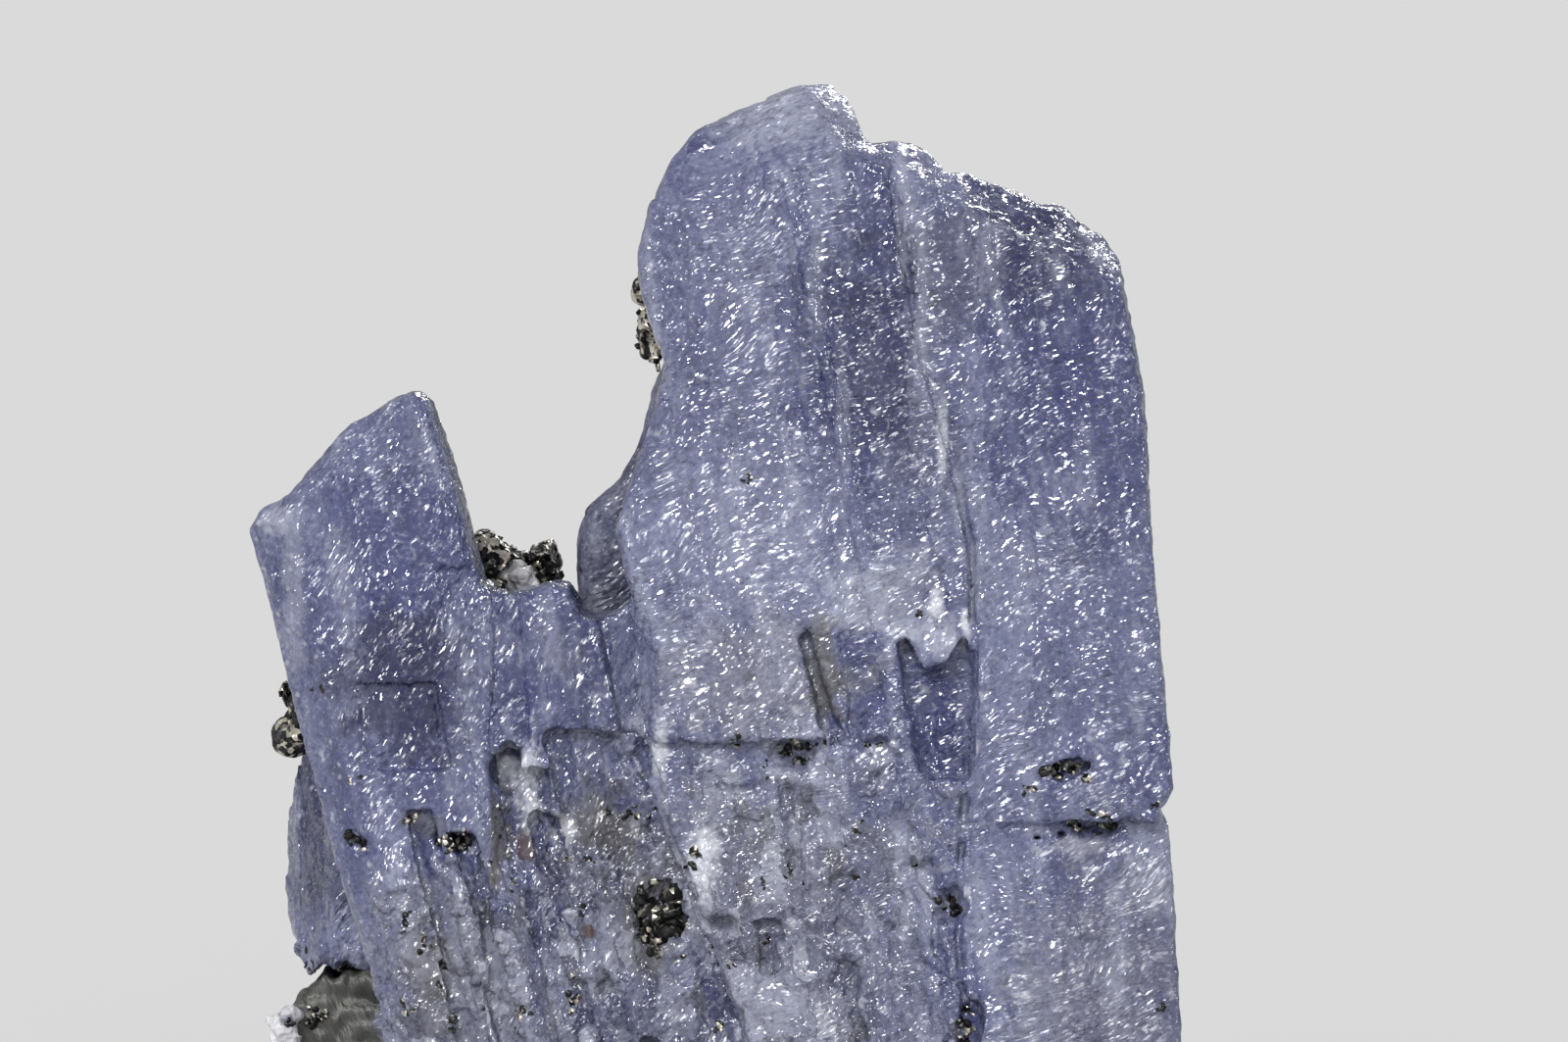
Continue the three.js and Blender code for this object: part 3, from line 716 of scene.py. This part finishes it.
def placed(tree, turn=(0, 0, 0)):
    """Object coordinates in millimetres, turned."""
    coordinates = add_node(tree, "ShaderNodeTexCoord")
    mapping = add_node(tree, "ShaderNodeMapping")
    mapping.inputs["Rotation"].default_value = turn
    mapping.inputs["Scale"].default_value = (1 / MM, 1 / MM, 1 / MM)
    tree.links.new(coordinates.outputs["Object"], mapping.inputs["Vector"])
    return mapping.outputs[0]


def blank_material(name):
    material = bpy.data.materials.new(name)
    material.use_nodes = True
    return material, material.node_tree, material.node_tree.nodes["Principled BSDF"]


def bumped(tree, height, distance):
    made = add_node(tree, "ShaderNodeBump")
    made.inputs["Strength"].default_value = 1
    made.inputs["Distance"].default_value = distance
    tree.links.new(height, made.inputs["Height"])
    return made.outputs[0]


def crystal_material(name, growth, groups, colours):
    """Milky to clear tanzanite with its own colour zones."""
    material, tree, shader = blank_material(name)
    plain = placed(tree)
    blotches = clouds(tree, plain, 0.8, 3, 0.7)
    ragged = math_node(tree, "MULTIPLY_ADD", blotches, ZONE_RAGGED, -ZONE_RAGGED / 2)
    marks = use_group(tree, groups["growth"])
    join(
        tree,
        (placed(tree, (0, math.atan(growth["lean"]), 0)), marks.inputs["Along"]),
        (placed(tree, (0, math.radians(growth["streak"]), 0)), marks.inputs["Streaks"]),
    )
    marks = marks.outputs

    def zone_mask(middle, half_size, strength=1.0):
        zone = use_group(tree, groups["zone"])
        join(tree, (plain, zone.inputs["Position"]), (ragged, zone.inputs["Ragged"]))
        zone.inputs["Scale"].default_value = [1 / half for half in half_size]
        shift = [-place / half for place, half in zip(middle, half_size)]
        zone.inputs["Shift"].default_value = shift
        zone.inputs["Strength"].default_value = strength
        return zone.outputs[0]

    def tinted(colour, hue, mask, amount=1):
        factor = mask if amount == 1 else math_node(tree, "MULTIPLY", mask, amount)
        return mix_colour(tree, factor, colour, getattr(colours, hue))

    worn = zone_mask(*growth["worn"])
    colour = mix_colour(tree, ramp(tree, marks["Veils"], 0.38, 0.62), colours.clear, colours.milky)
    for hue, middle, half_size, strength in growth["zones"]:
        colour = tinted(colour, hue, zone_mask(middle, half_size, strength))

    strayed = wandering(tree, plain, plain, 1.3, 3, (1.3, 0.3, 1.6))

    def cleaved(size):
        made = use_group(tree, groups["cleavage"])
        tree.links.new(strayed, made.inputs["Position"])
        made.inputs["Lean"].default_value = growth["lean"]
        made.inputs["Width"].default_value, made.inputs["Height"].default_value = size
        return made.outputs["Tone"], made.outputs["Border"]

    for size, amount in CLEAVAGE_TINTS:
        tone, border = cleaved(size)
        share = 1 if size == PLATE else math_node(tree, "MULTIPLY_ADD", worn, 0.85, 0.1)
        dark = math_node(tree, "MULTIPLY", ramp(tree, tone, 0.45, 0.1), share)
        light = math_node(tree, "MULTIPLY", ramp(tree, tone, 0.55, 0.95), share)
        colour = tinted(colour, "deep", dark, amount)
        colour = tinted(colour, "pale", light, amount)
        colour = tinted(colour, "pale", math_node(tree, "MULTIPLY", border, share), BORDER_TINT)
        if size == CHIP:
            chip_tone = tone
    for hue, start, full, strength in CHIP_TINTS:
        mask = math_node(tree, "MULTIPLY", ramp(tree, chip_tone, start, full), worn)
        colour = tinted(colour, hue, mask, strength)
    shape = add_node(tree, "ShaderNodeNewGeometry")
    followed = {
        "Veils": marks["Veils"],
        "Grain": marks["Grain"],
        # Pointiness paints light: pale in hollows offsets their shade, and broken white on proud
        # edges is a painted highlight
        "Edges": shape.outputs["Pointiness"],
    }
    for source, hue, start, full, strength in SURFACE_TINTS:
        colour = tinted(colour, hue, ramp(tree, followed[source], start, full), strength)
    for hue, middle, half_size, strength in growth["marks"]:
        colour = tinted(colour, hue, zone_mask(middle, half_size, strength))
    tree.links.new(colour, shader.inputs["Base Color"])

    etched = ramp(tree, marks["Patches"], 0.62, 0.42)
    rough = math_node(tree, "MULTIPLY_ADD", etched, ETCHED, GLOSSY)
    for patch in growth["matte"]:
        rough = math_node(tree, "MULTIPLY_ADD", zone_mask(*patch), MATTE, rough)
    tree.links.new(rough, shader.inputs["Roughness"])
    tree.links.new(bumped(tree, marks["Height"], 0.6 * MM), shader.inputs["Normal"])
    shader.inputs["IOR"].default_value = TANZANITE_IOR
    shader.inputs["Transmission Weight"].default_value = CLEARNESS
    inside = add_node(tree, "ShaderNodeVolumeAbsorption")
    inside.inputs["Color"].default_value = BODY_COLOUR
    inside.inputs["Density"].default_value = BODY_DENSITY
    tree.links.new(inside.outputs[0], tree.nodes["Material Output"].inputs["Volume"])
    return material


def graphite_material(colours):
    """Black metallic graphite in glittering crumpled plates, a share of them given a bright colour
    as painted glints.
    """
    material, tree, shader = blank_material("graphite_plates")
    plain = placed(tree)
    height, number = facets(tree, plain, 5)
    crumple = clouds(tree, plain, 5, 3, 0.6)
    # Painted glints: where the crowd is high, plates take the bright colour in place of highlights
    crowd = math_node(tree, "MULTIPLY_ADD", clouds(tree, plain, 0.7, 3), 2.2, number)
    bright = math_node(tree, "MULTIPLY", ramp(tree, crowd, 1.82, 1.98), 0.7)
    colour = mix_colour(tree, bright, colours.graphite, GRAPHITE_PAINTED_GLINT)
    tree.links.new(colour, shader.inputs["Base Color"])
    tree.links.new(math_node(tree, "MULTIPLY_ADD", crumple, 0.5, 0.1), shader.inputs["Roughness"])
    tree.links.new(bumped(tree, height, 1.2 * MM), shader.inputs["Normal"])
    shader.inputs["Metallic"].default_value = 0.75
    return material


def matrix_material(colours):
    """Silky greenish-grey matrix with fibres that run up and to the left."""
    material, tree, shader = blank_material("silky_matrix")
    along = placed(tree, (0, math.radians(25), 0))
    strands = clouds(tree, stretched(tree, along, (1, 1, 0.12)), 4, 6, 0.5)
    blotches = clouds(tree, along, 0.6, 2, 0.5)
    light = mix_colour(tree, ramp(tree, strands, 0.35, 0.8), colours.matrix, MATRIX_SILK)
    colour = mix_colour(tree, ramp(tree, blotches, 0.52, 0.66), light, colours.graphite)
    tree.links.new(colour, shader.inputs["Base Color"])
    tree.links.new(math_node(tree, "MULTIPLY_ADD", strands, 0.4, 0.15), shader.inputs["Roughness"])
    tree.links.new(bumped(tree, strands, 0.15 * MM), shader.inputs["Normal"])
    shader.inputs["Metallic"].default_value = 0.25
    return material


def calcite_material(colours):
    """Pale, slightly clear calcite with sugary grains."""
    material, tree, shader = blank_material("pale_calcite")
    plain = placed(tree)
    sugar = add_node(tree, "ShaderNodeTexVoronoi")
    sugar.inputs["Scale"].default_value = 4
    tree.links.new(plain, sugar.inputs["Vector"])
    grains = sugar.outputs["Distance"]
    dirt = ramp(tree, clouds(tree, plain, 1.2, 2, 0.5), 0.5, 0.7)
    colour = mix_colour(tree, dirt, CALCITE_WHITE, colours.grey)
    tree.links.new(colour, shader.inputs["Base Color"])
    tree.links.new(math_node(tree, "MULTIPLY_ADD", grains, 0.3, 0.2), shader.inputs["Roughness"])
    tree.links.new(bumped(tree, grains, 0.1 * MM), shader.inputs["Normal"])
    shader.inputs["Subsurface Weight"].default_value = 0.4
    shader.inputs["Subsurface Radius"].default_value = (1, 1, 1)
    shader.inputs["Subsurface Scale"].default_value = 0.6 * MM
    return material


def modifiers_applied(piece):
    """Makes a piece's mesh what its modifiers show, and takes them off."""
    shaped = piece.evaluated_get(bpy.context.evaluated_depsgraph_get())
    before = piece.data
    after = bpy.data.meshes.new_from_object(shaped)
    piece.modifiers.clear()
    piece.data = after
    bpy.data.meshes.remove(before)


def fine_copy(node_name, cell, rounds=0):
    """A copy of a solid's surface as an even mesh of small cells, smoothed for some rounds."""
    merged = bmesh.new()
    merged.from_mesh(frame["nodes"][node_name].data)
    bmesh.ops.remove_doubles(merged, verts=merged.verts, dist=0.001 * MM)
    name = node_name + "_surface"
    coarse = bpy.data.meshes.new(name + "_coarse")
    merged.to_mesh(coarse)
    merged.free()
    piece = bpy.data.objects.new(name, coarse)
    bpy.context.scene.collection.objects.link(piece)
    remesh = piece.modifiers.new("cells", "REMESH")
    remesh.mode = "VOXEL"
    remesh.voxel_size = cell
    if rounds:
        smooth = piece.modifiers.new("soften", "SMOOTH")
        smooth.factor = 0.5
        smooth.iterations = rounds
    modifiers_applied(piece)
    return piece


def thinned(piece, most_triangles):
    """Merges the flattest faces of a piece until it has at most so many triangles."""
    piece.data.calc_loop_triangles()
    count = len(piece.data.loop_triangles)
    if count <= most_triangles:
        return
    decimate = piece.modifiers.new("thin", "DECIMATE")
    decimate.ratio = most_triangles / count
    modifiers_applied(piece)


def moved_along_normals(piece, depth_at):
    """Moves every point of a piece along its normal, and keeps the cut base flat."""
    mesh = piece.data
    normals = [vertex.normal.copy() for vertex in mesh.vertices]
    for vertex, normal in zip(mesh.vertices, normals):
        place = vertex.co / MM
        vertex.co += normal * depth_at(place, normal)
        if place.z < CUT_BAND:
            vertex.co.z = 0
    mesh.update()


def seam_closing(node_name, reach):
    """How far a crystal's side faces move at a place to meet the crystals beside it."""
    others = []
    for name in CRYSTALS:
        if name != node_name:
            mesh = frame["nodes"][name].data
            corners = [vertex.co for vertex in mesh.vertices]
            others.append(BVHTree.FromPolygons(corners, [face.vertices for face in mesh.polygons]))

    def closing_at(place, normal):
        found = [tree.find_nearest(place * MM, SEAM_SEARCH * MM)[3] for tree in others]
        near = min((distance for distance in found if distance is not None), default=MM)
        nearness = smooth_step(near / MM, SEAM_FAR, SEAM_NEAR)
        return reach * nearness * (1 - normal.y * normal.y)

    return closing_at


def smooth_step(value, low, high):
    share = min(1, max(0, (value - low) / (high - low)))
    return share * share * (3 - 2 * share)


def fraction(value):
    return value - math.floor(value)


def cleavage_block(across, y, z, width, height):
    """The number, from 0 to 1, of the cleavage block at a place, and its face's tilt there."""
    columns = across / width + BORDER_SWAY * math.sin(BORDER_WAVE * z)
    column = math.floor(columns)
    layer = math.floor(y / LAYER + LAYER_START)
    rows = z / height + ROW_JOG * fraction(column * COLUMN_JOG + layer * LAYER_JOG)
    row = math.floor(rows)
    mixed = column * COLUMN_FACTOR + layer * LAYER_FACTOR + row * ROW_FACTOR
    number = fraction(math.sin(mixed) * WAVE_FACTOR)
    tilt = (fraction(number * 7.3) - 0.5) * (columns - column - 0.5)
    tilt += (fraction(number * 13.7) - 0.5) * (rows - row - 0.5)
    return number, tilt


def growth_depth(growth, form):
    """How far a crystal's surface stands out at a place, from its ribs, blocks and pits."""
    lean = growth["lean"]
    worn_middle, worn_half = (Vector(values) for values in growth["worn"])
    turn = math.radians(growth["streak"])
    right, up = math.cos(turn), math.sin(turn)

    def depth_at(place, normal):
        x, y, z = place
        across = x + lean * z
        ribs = sum(
            share * noise.noise((across * wide, y * wide, z * tall + start))
            for wide, tall, start, share in RIBS
        )
        plate, plate_tilt = cleavage_block(across, y, z, *PLATE)
        aside = across + 0.5 * noise.noise(place * 0.8)
        above = z + 0.7 * noise.noise(place * 0.9 + worn_middle)
        block, block_tilt = cleavage_block(aside, y, above, *BLOCK)
        chip, chip_tilt = cleavage_block(aside, y, above, *CHIP)
        run = x * right + z * up
        rise = z * right - x * up
        pits = sum(
            share * noise.noise((run * long, y * wide, rise * wide)) for long, wide, share in PITS
        )
        aside_reach = abs(x - worn_middle.x) / worn_half.x
        reach = max(aside_reach, abs(z - worn_middle.z) / worn_half.z)
        wear = smooth_step(reach, 1.06, 0.98)
        plates = PLATE_STEP * (plate - 0.5) + plate_tilt
        blocks = BLOCK_STEP * block + BLOCK_TILT * block_tilt
        chips = CHIP_STEP * chip + CHIP_TILT * chip_tilt
        steps = plates + wear * (blocks + chips - BROKEN_LEVEL)
        depth = form.rib_depth * ribs + form.block_depth * steps + form.pit_depth * pits
        return form.overlap + depth * smooth_step(z, 0.1, 0.7)

    return depth_at


def crumpled_depth(scale, depth):
    """How far crumpled graphite or a grainy lump stands out at a place."""

    def depth_at(place, normal):
        near, points = noise.voronoi(place * scale)
        rough = noise.noise(place * scale * 2.3)
        lumps = noise.noise(place * 0.45)
        height = 0.7 - near[0] * 1.4 + 0.5 * rough + 1.8 * lumps
        return depth * height * smooth_step(place.z, 0.1, 0.5)

    return depth_at


def finish_piece(piece, material, node_names):
    """Gives a piece its look, its body and the nodes that it stands for."""
    piece.data.materials.clear()
    piece.data.materials.append(material)
    for face in piece.data.polygons:
        face.use_smooth = True
    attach(piece, "root")
    for node_name in node_names:
        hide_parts(node_name)


def add_plate(mesh, middle, facing, radius, thickness, chance):
    """Adds one six-sided graphite plate to a bmesh."""
    turn = facing.to_track_quat("Z", "Y").to_matrix().to_4x4()
    spin = Matrix.Rotation(chance.uniform(0, math.tau), 4, "Z")
    squash = Matrix.Diagonal((1, chance.uniform(0.5, 1), 1, 1))
    bmesh.ops.create_cone(
        mesh,
        cap_ends=True,
        segments=6,
        radius1=radius,
        radius2=radius * 0.85,
        depth=thickness,
        matrix=Matrix.Translation(middle) @ turn @ spin @ squash,
    )


def plates_on(piece, count, radius, seed):
    """A bmesh of graphite plates that lie on random faces of a piece."""
    chance = random.Random(seed)
    plates = bmesh.new()
    faces = piece.data.polygons
    for place in range(count):
        face = faces[chance.randrange(len(faces))]
        tilt = Vector([chance.uniform(-0.6, 0.6) for axis in range(3)])
        size = radius * chance.uniform(0.5, 1.2)
        add_plate(plates, face.center, (face.normal + tilt).normalized(), size, size * 0.3, chance)
    return plates


def joined_to(piece, extra):
    """Adds a bmesh's faces to a piece's mesh."""
    whole = bmesh.new()
    whole.from_mesh(piece.data)
    spare = bpy.data.meshes.new("spare")
    extra.to_mesh(spare)
    extra.free()
    whole.from_mesh(spare)
    whole.to_mesh(piece.data)
    whole.free()
    bpy.data.meshes.remove(spare)


def kept_above_cut(piece):
    """Presses whatever reaches below the cut back up to it."""
    for vertex in piece.data.vertices:
        vertex.co.z = max(vertex.co.z, 0)


class CLUSTER_OT_crystals(Operator):
    """Grow the five crystals with their ribs, blocks and etch pits"""

    bl_idname = "cluster.crystals"
    bl_label = "Crystals"

    def execute(self, context):
        scene = context.scene
        groups = {"zone": zone_group(), "growth": growth_group(), "cleavage": cleavage_group()}
        for node_name, growth in CRYSTALS.items():
            piece = fine_copy(node_name, growth["cell"] * MM, SOFTENING_ROUNDS)
            moved_along_normals(piece, seam_closing(node_name, scene.cluster_form.seam_reach))
            moved_along_normals(piece, growth_depth(growth, scene.cluster_form))
            thinned(piece, scene.cluster_form.most_triangles)
            look = crystal_material(node_name + "_look", growth, groups, scene.cluster_colours)
            finish_piece(piece, look, [node_name])
        return {"FINISHED"}


class CLUSTER_OT_graphite(Operator):
    """Cover the graphite masses with crumpled glittering plates"""

    bl_idname = "cluster.graphite"
    bl_label = "Graphite"

    def execute(self, context):
        scene = context.scene
        look = graphite_material(scene.cluster_colours)
        for seed, (node_name, (radius, depth)) in enumerate(GRAPHITE_MASSES.items()):
            piece = fine_copy(node_name, scene.cluster_form.grain_cell)
            moved_along_normals(piece, crumpled_depth(1.3, depth * MM))
            count = len(piece.data.polygons) // FACES_PER_PLATE
            joined_to(piece, plates_on(piece, count, radius * MM, seed))
            kept_above_cut(piece)
            finish_piece(piece, look, [node_name])
        return {"FINISHED"}


class CLUSTER_OT_flakes(Operator):
    """Set graphite flakes and small spots into the front faces"""

    bl_idname = "cluster.flakes"
    bl_label = "Graphite Flakes"

    def execute(self, context):
        look = bpy.data.materials["graphite_plates"]
        names = (*CRYSTALS, "matrix_foot", "calcite_foot")
        crystals = [bpy.data.objects[name + "_surface"] for name in names]
        trees = [
            BVHTree.FromPolygons(
                [vertex.co for vertex in crystal.data.vertices],
                [face.vertices for face in crystal.data.polygons],
            )
            for crystal in crystals
        ]
        front = CAD_BOX[0][1] - 5 * MM

        def face_at(x, z):
            """The first surface that is met from the front."""
            hits = [tree.ray_cast(Vector((x, front, z)), Vector((0, 1, 0))) for tree in trees]
            met = [hit for hit in hits if hit[0] is not None]
            return min(met, key=lambda hit: hit[3]) if met else None

        def cluster_of_plates(x, z, across, up, seed):
            chance = random.Random(seed)
            plates = bmesh.new()
            area_per_plate = FLAKE_AREA_PER_PLATE * MM * MM
            count = max(FEWEST_PLATES, round(across * up / area_per_plate))
            for place in range(count):
                reach, angle = math.sqrt(chance.random()), chance.uniform(0, math.tau)
                spot_x = x + across * reach * math.cos(angle)
                spot_z = z + up * reach * math.sin(angle)
                hit = face_at(spot_x, spot_z)
                if hit is None:
                    continue
                facing = hit[1] * 1.0
                facing += Vector([chance.uniform(-0.7, 0.7) for axis in range(3)])
                size = min(across, up) * chance.uniform(0.25, 0.6) + 0.05 * MM
                add_plate(plates, hit[0], facing.normalized(), size, size * 0.35, chance)
            return plates

        number = 0
        flakes = [name for name in frame["nodes"] if name.startswith("graphite_flake_")]
        for name in sorted(flakes):
            low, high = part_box(name)
            middle, half = (low + high) / 2, (high - low) / 2
            number += 1
            plates = cluster_of_plates(middle.x, middle.z, half.x, half.z, number)
            self.add_piece(name + "_plates", plates, look, [name])
        for x, z, across, up in SPOTS:
            number += 1
            plates = cluster_of_plates(x * MM, z * MM, across * MM, up * MM, number)
            self.add_piece(f"graphite_spot_{number}", plates, look, [])
        return {"FINISHED"}

    def add_piece(self, name, plates, look, node_names):
        if not plates.faces:
            raise ValueError(f"{name} meets no face from the front")
        mesh = bpy.data.meshes.new(name)
        plates.to_mesh(mesh)
        plates.free()
        piece = bpy.data.objects.new(name, mesh)
        bpy.context.scene.collection.objects.link(piece)
        finish_piece(piece, look, node_names)


class CLUSTER_OT_foot(Operator):
    """Roughen the silky matrix and the two pale lumps"""

    bl_idname = "cluster.foot"
    bl_label = "Matrix and Calcite"

    def execute(self, context):
        scene = context.scene
        silky = matrix_material(scene.cluster_colours)
        sugary = calcite_material(scene.cluster_colours)
        lumps = (
            ("matrix_foot", silky, "matrix"),
            ("calcite_saddle", sugary, "calcite"),
            ("calcite_foot", sugary, "calcite"),
        )
        for node_name, look, slot in lumps:
            piece = fine_copy(node_name, scene.cluster_form.grain_cell)
            moved_along_normals(piece, crumpled_depth(0.9, LUMP_DEPTH * MM))
            kept_above_cut(piece)
            finish_piece(piece, look, [node_name])
        return {"FINISHED"}


class CLUSTER_OT_stage(Operator):
    """Set the pale floor, the soft lights and the camera"""

    bl_idname = "cluster.stage"
    bl_label = "Stage"

    def execute(self, context):
        stage = context.scene.cluster_stage
        on_floor = stage.ambient
        for name, (place, breadth) in LIGHTS.items():
            towards = Vector(place).normalized()
            strength = getattr(stage, name + "_strength")
            on_floor += strength * towards.z / math.pi
            self.add_light(name, towards, math.radians(breadth), strength)
        self.add_floor(stage)
        self.add_world(stage, on_floor)
        self.add_camera(stage)
        return {"FINISHED"}

    def add_floor(self, stage):
        mesh = bmesh.new()
        bmesh.ops.create_circle(mesh, cap_ends=True, segments=96, radius=stage.floor_radius)
        plate = bpy.data.meshes.new("floor")
        mesh.to_mesh(plate)
        mesh.free()
        floor = bpy.data.objects.new("floor", plate)
        bpy.context.scene.collection.objects.link(floor)
        material, tree, shader = blank_material("pale_floor")
        shader.inputs["Base Color"].default_value = stage.floor_colour
        shader.inputs["Roughness"].default_value = 1
        shader.inputs["Specular IOR Level"].default_value = 0
        plate.materials.append(material)

    def add_world(self, stage, on_floor):
        """Even light from all round. Seen directly, it's as bright as the floor at the horizon."""
        world = bpy.data.worlds.new("studio")
        world.use_nodes = True
        tree = world.node_tree
        even = tree.nodes["Background"]
        even.inputs["Strength"].default_value = stage.ambient
        even.inputs["Color"].default_value = (1, 1, 1, 1)
        seen = add_node(tree, "ShaderNodeBackground")
        seen.inputs["Color"].default_value = stage.floor_colour
        seen.inputs["Strength"].default_value = on_floor
        path = add_node(tree, "ShaderNodeLightPath")
        either = add_node(tree, "ShaderNodeMixShader")
        join(
            tree,
            (path.outputs["Is Camera Ray"], either.inputs[0]),
            (even.outputs[0], either.inputs[1]),
            (seen.outputs[0], either.inputs[2]),
            (either.outputs[0], tree.nodes["World Output"].inputs["Surface"]),
        )
        bpy.context.scene.world = world

    def add_light(self, name, towards, breadth, strength):
        light = bpy.data.lights.new(name, "SUN")
        light.angle = breadth
        light.energy = strength
        lamp = bpy.data.objects.new(name, light)
        lamp.rotation_euler = towards.to_track_quat("Z", "Y").to_euler()
        bpy.context.scene.collection.objects.link(lamp)

    def add_camera(self, stage):
        middle = Vector([place * MM for place in VIEW_MIDDLE])
        data = bpy.data.cameras.new("camera")
        data.lens = stage.lens
        data.clip_start = 0.01
        distance = VIEW_WIDTH * MM * data.lens / data.sensor_width
        camera = bpy.data.objects.new("camera", data)
        back = Vector((0, -math.cos(stage.tilt), math.sin(stage.tilt)))
        camera.location = middle + back * distance
        camera.rotation_euler = (math.pi / 2 - stage.tilt, 0, 0)
        bpy.context.scene.collection.objects.link(camera)
        bpy.context.scene.camera = camera
        bpy.context.scene.view_settings.view_transform = "Standard"


class CLUSTER_PT_panel(Panel):
    """List the cluster's settings and operators"""

    bl_idname = "CLUSTER_PT_panel"
    bl_label = "Tanzanite Crystal Cluster"
    bl_space_type = "VIEW_3D"
    bl_region_type = "UI"
    bl_category = "Crystals"

    def draw(self, context):
        scene = context.scene
        for settings in (scene.cluster_form, scene.cluster_colours, scene.cluster_stage):
            box = self.layout.box()
            for name in settings.__annotations__:
                box.prop(settings, name)
        for operator in OPERATORS:
            self.layout.operator(operator.bl_idname)


OPERATORS = (
    CLUSTER_OT_crystals,
    CLUSTER_OT_graphite,
    CLUSTER_OT_flakes,
    CLUSTER_OT_foot,
    CLUSTER_OT_stage,
)
SETTINGS = {
    "cluster_form": ClusterForm,
    "cluster_colours": ClusterColours,
    "cluster_stage": ClusterStage,
}


def register():
    for kind in (*SETTINGS.values(), *OPERATORS, CLUSTER_PT_panel):
        bpy.utils.register_class(kind)
    for name, kind in SETTINGS.items():
        setattr(bpy.types.Scene, name, PointerProperty(type=kind))


def unregister():
    for name in SETTINGS:
        delattr(bpy.types.Scene, name)
    for kind in (CLUSTER_PT_panel, *reversed(OPERATORS), *SETTINGS.values()):
        bpy.utils.unregister_class(kind)


def main():
    register()
    bpy.ops.cluster.crystals()
    bpy.ops.cluster.graphite()
    bpy.ops.cluster.foot()
    bpy.ops.cluster.flakes()
    bpy.ops.cluster.stage()


if __name__ == "__main__":
    main()
